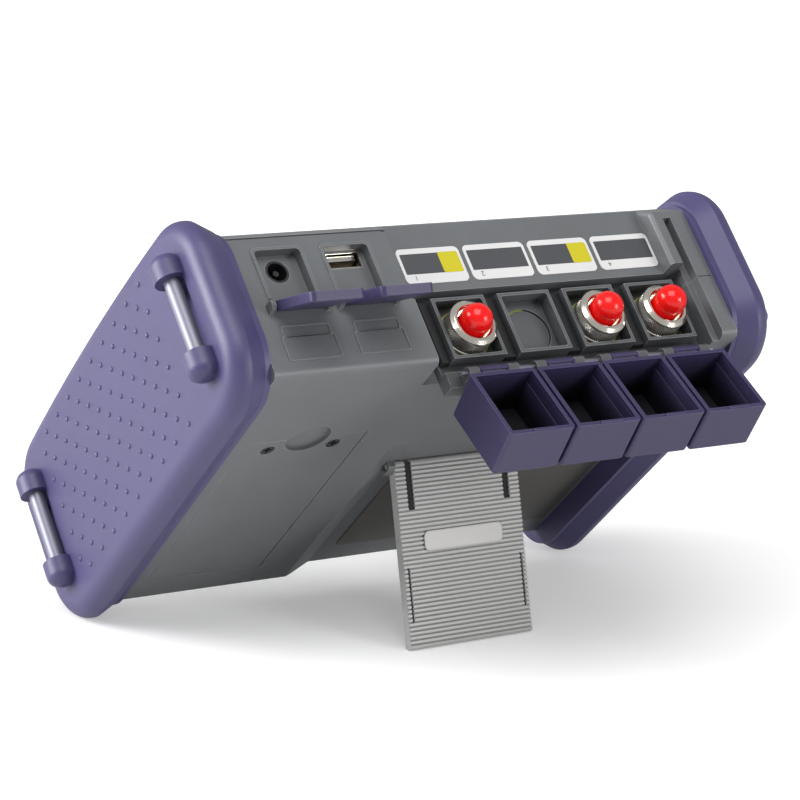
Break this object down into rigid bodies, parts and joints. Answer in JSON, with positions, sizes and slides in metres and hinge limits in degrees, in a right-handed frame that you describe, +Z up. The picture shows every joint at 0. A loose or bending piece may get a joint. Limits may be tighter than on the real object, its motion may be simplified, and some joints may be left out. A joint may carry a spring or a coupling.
{
  "type": "optical time domain reflectometer",
  "caption": "Hand-held fibre test set with end bumpers, leaning on its fold-out stand, with swing covers over capped fibre ports and flaps over its power and data sockets.",
  "frame": {"origin": "middle of the bounding box, on the floor the set stands on", "axes": "+X towards the bumper beside the power and data sockets, +Y towards the back, where the stand and the open covers are, +Z up"},
  "size_m": [0.2306, 0.1796, 0.1549],
  "materials": {
    "bumper": "matt moulded",
    "housing": "fine textured",
    "panel": "satin moulded",
    "cover": "satin moulded",
    "stand": "satin moulded",
    "steel": "plain",
    "nickel": "plated",
    "nut": "knurled, dark nickel",
    "cap": "glossy",
    "black_plastic": "moulded",
    "lens": "glossy",
    "display": "glossy",
    "key": "matt",
    "board": "solder mask",
    "module": "plain",
    "label": "printed film"
  },
  "bodies": {
    "housing": {"back_shell": "housing", "battery_lid": "housing", "battery_lid_screws": "steel", "battery_pack": "black_plastic", "blank_port_plug": "panel", "bumper_left": "bumper", "bumper_right": "bumper", "cover_hinge_pin": "steel", "data_port": "steel", "display_module": "display", "fibre_adapter_1": "nickel", "fibre_adapter_3": "nickel", "fibre_adapter_4": "nickel", "front_shell": "housing", "keypad_mat": "key", "main_board": "board", "optical_module": "module", "port_labels": "label", "port_panel": "panel", "power_jack": "black_plastic", "rating_plate": "label", "screen_lens": "lens", "strap_rod_left_high": "steel", "strap_rod_left_low": "steel", "strap_rod_right_high": "steel", "strap_rod_right_low": "steel"},
    "stand": {"stand": "stand"},
    "power_flap": {"power_flap": "cover"},
    "data_flap": {"data_flap": "cover"},
    "port_cover_1": {"port_cover_1": "cover"},
    "port_cover_2": {"port_cover_2": "cover"},
    "port_cover_3": {"port_cover_3": "cover"},
    "port_cover_4": {"port_cover_4": "cover"},
    "knurled_nut_1": {"knurled_nut_1": "nut"},
    "knurled_nut_3": {"knurled_nut_3": "nut"},
    "knurled_nut_4": {"knurled_nut_4": "nut"},
    "dust_cap_1": {"dust_cap_1": "cap"},
    "dust_cap_3": {"dust_cap_3": "cap"},
    "dust_cap_4": {"dust_cap_4": "cap"},
    "key_back": {"key_back": "key"},
    "key_down": {"key_down": "key"},
    "key_file": {"key_file": "key"},
    "key_left": {"key_left": "key"},
    "key_menu": {"key_menu": "key"},
    "key_ok": {"key_ok": "key"},
    "key_power": {"key_power": "key"},
    "key_right": {"key_right": "key"},
    "key_setup": {"key_setup": "key"},
    "key_up": {"key_up": "key"}
  },
  "joints": [
    {"name": "stand_fold", "type": "hinge", "parent": "housing", "child": "stand", "pos_m": [0, 0.00562, 0.06105], "axis": [-1, 0, 0], "range_deg": [0, 61]},
    {"name": "port_cover_1_close", "type": "hinge", "parent": "housing", "child": "port_cover_1", "pos_m": [0.0105, 0.05881, 0.10994], "axis": [1, 0, 0], "range_deg": [0, 164]},
    {"name": "port_cover_2_close", "type": "hinge", "parent": "housing", "child": "port_cover_2", "pos_m": [-0.016, 0.05881, 0.10994], "axis": [1, 0, 0], "range_deg": [0, 164]},
    {"name": "port_cover_3_close", "type": "hinge", "parent": "housing", "child": "port_cover_3", "pos_m": [-0.0425, 0.05881, 0.10994], "axis": [1, 0, 0], "range_deg": [0, 164]},
    {"name": "port_cover_4_close", "type": "hinge", "parent": "housing", "child": "port_cover_4", "pos_m": [-0.069, 0.05881, 0.10994], "axis": [1, 0, 0], "range_deg": [0, 164]},
    {"name": "power_flap_close", "type": "hinge", "parent": "housing", "child": "power_flap", "pos_m": [0.0752, 0.04359, 0.13311], "axis": [1, 0, 0], "range_deg": [0, 116]},
    {"name": "data_flap_close", "type": "hinge", "parent": "housing", "child": "data_flap", "pos_m": [0.0498, 0.04359, 0.13311], "axis": [1, 0, 0], "range_deg": [0, 116]},
    {"name": "knurled_nut_1_turn", "type": "hinge", "parent": "housing", "child": "knurled_nut_1", "pos_m": [0.0105, 0.04395, 0.12039], "axis": [0, 0.6784, 0.7346], "continuous": true},
    {"name": "knurled_nut_3_turn", "type": "hinge", "parent": "housing", "child": "knurled_nut_3", "pos_m": [-0.0425, 0.04395, 0.12039], "axis": [0, 0.6784, 0.7346], "continuous": true},
    {"name": "knurled_nut_4_turn", "type": "hinge", "parent": "housing", "child": "knurled_nut_4", "pos_m": [-0.069, 0.04395, 0.12039], "axis": [0, 0.6784, 0.7346], "continuous": true},
    {"name": "dust_cap_1_pull", "type": "slide", "parent": "housing", "child": "dust_cap_1", "axis": [0, 0.6784, 0.7346], "range_m": [0, 0.045]},
    {"name": "dust_cap_3_pull", "type": "slide", "parent": "housing", "child": "dust_cap_3", "axis": [0, 0.6784, 0.7346], "range_m": [0, 0.045]},
    {"name": "dust_cap_4_pull", "type": "slide", "parent": "housing", "child": "dust_cap_4", "axis": [0, 0.6784, 0.7346], "range_m": [0, 0.045]},
    {"name": "key_back_press", "type": "slide", "parent": "housing", "child": "key_back", "axis": [0, 0.7346, -0.6784], "range_m": [0, 0.0006], "stiffness_N_per_m": 1500},
    {"name": "key_down_press", "type": "slide", "parent": "housing", "child": "key_down", "axis": [0, 0.7346, -0.6784], "range_m": [0, 0.0006], "stiffness_N_per_m": 1500},
    {"name": "key_file_press", "type": "slide", "parent": "housing", "child": "key_file", "axis": [0, 0.7346, -0.6784], "range_m": [0, 0.0006], "stiffness_N_per_m": 1500},
    {"name": "key_left_press", "type": "slide", "parent": "housing", "child": "key_left", "axis": [0, 0.7346, -0.6784], "range_m": [0, 0.0006], "stiffness_N_per_m": 1500},
    {"name": "key_menu_press", "type": "slide", "parent": "housing", "child": "key_menu", "axis": [0, 0.7346, -0.6784], "range_m": [0, 0.0006], "stiffness_N_per_m": 1500},
    {"name": "key_ok_press", "type": "slide", "parent": "housing", "child": "key_ok", "axis": [0, 0.7346, -0.6784], "range_m": [0, 0.0006], "stiffness_N_per_m": 1500},
    {"name": "key_power_press", "type": "slide", "parent": "housing", "child": "key_power", "axis": [0, 0.7346, -0.6784], "range_m": [0, 0.0006], "stiffness_N_per_m": 1500},
    {"name": "key_right_press", "type": "slide", "parent": "housing", "child": "key_right", "axis": [0, 0.7346, -0.6784], "range_m": [0, 0.0006], "stiffness_N_per_m": 1500},
    {"name": "key_setup_press", "type": "slide", "parent": "housing", "child": "key_setup", "axis": [0, 0.7346, -0.6784], "range_m": [0, 0.0006], "stiffness_N_per_m": 1500},
    {"name": "key_up_press", "type": "slide", "parent": "housing", "child": "key_up", "axis": [0, 0.7346, -0.6784], "range_m": [0, 0.0006], "stiffness_N_per_m": 1500}
  ]
}
